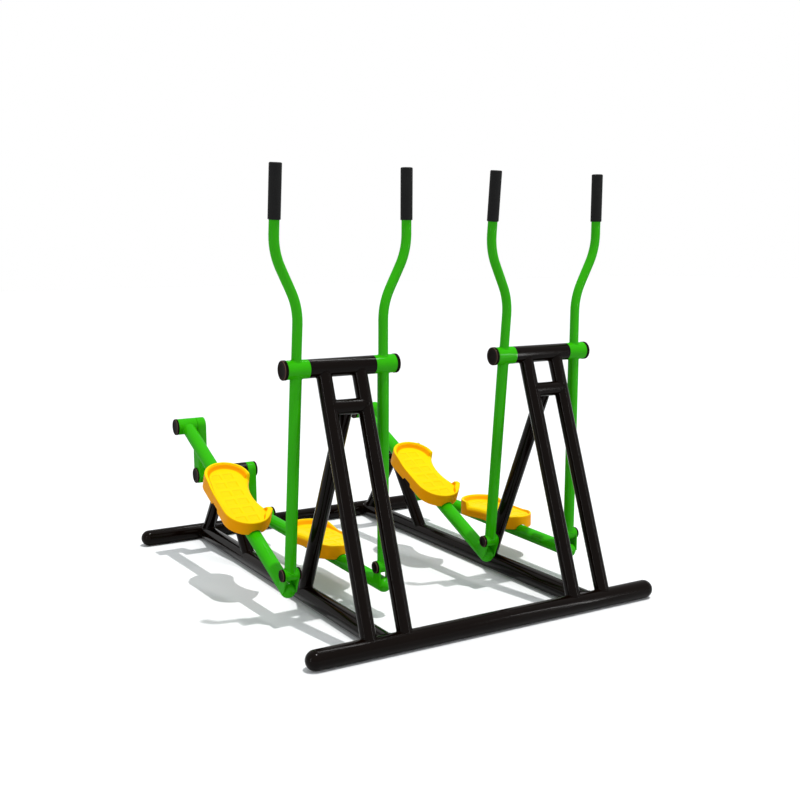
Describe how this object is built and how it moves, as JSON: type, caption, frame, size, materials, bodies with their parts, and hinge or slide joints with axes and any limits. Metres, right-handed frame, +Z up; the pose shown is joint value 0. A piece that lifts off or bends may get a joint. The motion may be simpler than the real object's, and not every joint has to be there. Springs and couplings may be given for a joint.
{
  "type": "outdoor air walker",
  "caption": "Free-standing outdoor air walker: stations side by side, each with a crank, swinging handles and hanging footplates on a tubular base.",
  "frame": {"origin": "on the ground under the middle of the base", "axes": "+X to the right, +Y to the back, where the cranks are, +Z up"},
  "size_m": [1.3356, 1.6414, 1.4711],
  "materials": {
    "black_paint": "glossy powder coat",
    "green_paint": "glossy powder coat",
    "yellow_plastic": "satin moulded plastic",
    "grip_rubber": "matt",
    "dark_plastic": "satin",
    "bare_steel": "ground",
    "zinc_steel": "dark plated"
  },
  "bodies": {
    "frame": {"front_base_tube": "black_paint", "rear_base_tube": "black_paint", "left_beam": "black_paint", "right_beam": "black_paint", "left_station_left_post": "black_paint", "left_station_right_post": "black_paint", "left_station_rung": "black_paint", "left_station_rear_leg": "black_paint", "left_station_top_tube": "black_paint", "left_station_top_shaft": "bare_steel", "left_station_front_support_leg": "black_paint", "left_station_rear_support_leg": "black_paint", "left_station_axle_housing": "black_paint", "left_station_bearings": "bare_steel", "right_station_left_post": "black_paint", "right_station_right_post": "black_paint", "right_station_rung": "black_paint", "right_station_rear_leg": "black_paint", "right_station_top_tube": "black_paint", "right_station_top_shaft": "bare_steel", "right_station_front_support_leg": "black_paint", "right_station_rear_support_leg": "black_paint", "right_station_axle_housing": "black_paint", "right_station_bearings": "bare_steel"},
    "left_station_crank_set": {"left_station_crank": "green_paint", "left_station_hub_caps": "dark_plastic"},
    "left_station_left_handle_set": {"left_station_left_handle": "green_paint", "left_station_left_grip": "grip_rubber", "left_station_left_sleeve_cap": "dark_plastic"},
    "left_station_left_pedal_bar_set": {"left_station_left_pedal_bar": "green_paint", "left_station_left_footplate": "yellow_plastic", "left_station_left_bracket": "zinc_steel", "left_station_left_crank_pin": "zinc_steel", "left_station_left_pivot_pin": "zinc_steel"},
    "left_station_right_handle_set": {"left_station_right_handle": "green_paint", "left_station_right_grip": "grip_rubber", "left_station_right_sleeve_cap": "dark_plastic"},
    "left_station_right_pedal_bar_set": {"left_station_right_pedal_bar": "green_paint", "left_station_right_footplate": "yellow_plastic", "left_station_right_bracket": "zinc_steel", "left_station_right_crank_pin": "zinc_steel", "left_station_right_pivot_pin": "zinc_steel"},
    "right_station_crank_set": {"right_station_crank": "green_paint", "right_station_hub_caps": "dark_plastic"},
    "right_station_left_handle_set": {"right_station_left_handle": "green_paint", "right_station_left_grip": "grip_rubber", "right_station_left_sleeve_cap": "dark_plastic"},
    "right_station_left_pedal_bar_set": {"right_station_left_pedal_bar": "green_paint", "right_station_left_footplate": "yellow_plastic", "right_station_left_bracket": "zinc_steel", "right_station_left_crank_pin": "zinc_steel", "right_station_left_pivot_pin": "zinc_steel"},
    "right_station_right_handle_set": {"right_station_right_handle": "green_paint", "right_station_right_grip": "grip_rubber", "right_station_right_sleeve_cap": "dark_plastic"},
    "right_station_right_pedal_bar_set": {"right_station_right_pedal_bar": "green_paint", "right_station_right_footplate": "yellow_plastic", "right_station_right_bracket": "zinc_steel", "right_station_right_crank_pin": "zinc_steel", "right_station_right_pivot_pin": "zinc_steel"}
  },
  "joints": [
    {"name": "left_station_crank_turn", "type": "hinge", "parent": "frame", "child": "left_station_crank_set", "pos_m": [-0.392, 0.521, 0.332], "axis": [1, 0, 0], "range_deg": [0, 60]},
    {"name": "left_station_left_handle_swing", "type": "hinge", "parent": "frame", "child": "left_station_left_handle_set", "pos_m": [-0.392, -0.501, 0.85], "axis": [1, 0, 0], "range_deg": [-17.66, 0]},
    {"name": "left_station_left_pedal_bar_swing", "type": "hinge", "parent": "left_station_left_handle_set", "child": "left_station_left_pedal_bar_set", "pos_m": [-0.392, -0.4253, 0.17926], "axis": [1, 0, 0], "range_deg": [0, 11.21]},
    {"name": "left_station_right_handle_swing", "type": "hinge", "parent": "frame", "child": "left_station_right_handle_set", "pos_m": [-0.392, -0.501, 0.85], "axis": [1, 0, 0], "range_deg": [0, 14.89]},
    {"name": "left_station_right_pedal_bar_swing", "type": "hinge", "parent": "left_station_right_handle_set", "child": "left_station_right_pedal_bar_set", "pos_m": [-0.392, -0.48798, 0.17513], "axis": [1, 0, 0], "range_deg": [-10.69, 0]},
    {"name": "right_station_crank_turn", "type": "hinge", "parent": "frame", "child": "right_station_crank_set", "pos_m": [0.392, 0.521, 0.332], "axis": [1, 0, 0], "range_deg": [0, 60]},
    {"name": "right_station_left_handle_swing", "type": "hinge", "parent": "frame", "child": "right_station_left_handle_set", "pos_m": [0.392, -0.501, 0.85], "axis": [1, 0, 0], "range_deg": [-17.66, 0]},
    {"name": "right_station_left_pedal_bar_swing", "type": "hinge", "parent": "right_station_left_handle_set", "child": "right_station_left_pedal_bar_set", "pos_m": [0.392, -0.4253, 0.17926], "axis": [1, 0, 0], "range_deg": [0, 11.21]},
    {"name": "right_station_right_handle_swing", "type": "hinge", "parent": "frame", "child": "right_station_right_handle_set", "pos_m": [0.392, -0.501, 0.85], "axis": [1, 0, 0], "range_deg": [0, 14.89]},
    {"name": "right_station_right_pedal_bar_swing", "type": "hinge", "parent": "right_station_right_handle_set", "child": "right_station_right_pedal_bar_set", "pos_m": [0.392, -0.48798, 0.17513], "axis": [1, 0, 0], "range_deg": [-10.69, 0]}
  ],
  "couplings": [
    {"joint": "left_station_left_handle_swing", "follows": "left_station_crank_turn", "ratio": -0.29406},
    {"joint": "left_station_left_pedal_bar_swing", "follows": "left_station_crank_turn", "ratio": 0.18649},
    {"joint": "left_station_right_handle_swing", "follows": "left_station_crank_turn", "ratio": 0.24784},
    {"joint": "left_station_right_pedal_bar_swing", "follows": "left_station_crank_turn", "ratio": -0.17779},
    {"joint": "right_station_left_handle_swing", "follows": "right_station_crank_turn", "ratio": -0.29406},
    {"joint": "right_station_left_pedal_bar_swing", "follows": "right_station_crank_turn", "ratio": 0.18649},
    {"joint": "right_station_right_handle_swing", "follows": "right_station_crank_turn", "ratio": 0.24784},
    {"joint": "right_station_right_pedal_bar_swing", "follows": "right_station_crank_turn", "ratio": -0.17779}
  ]
}
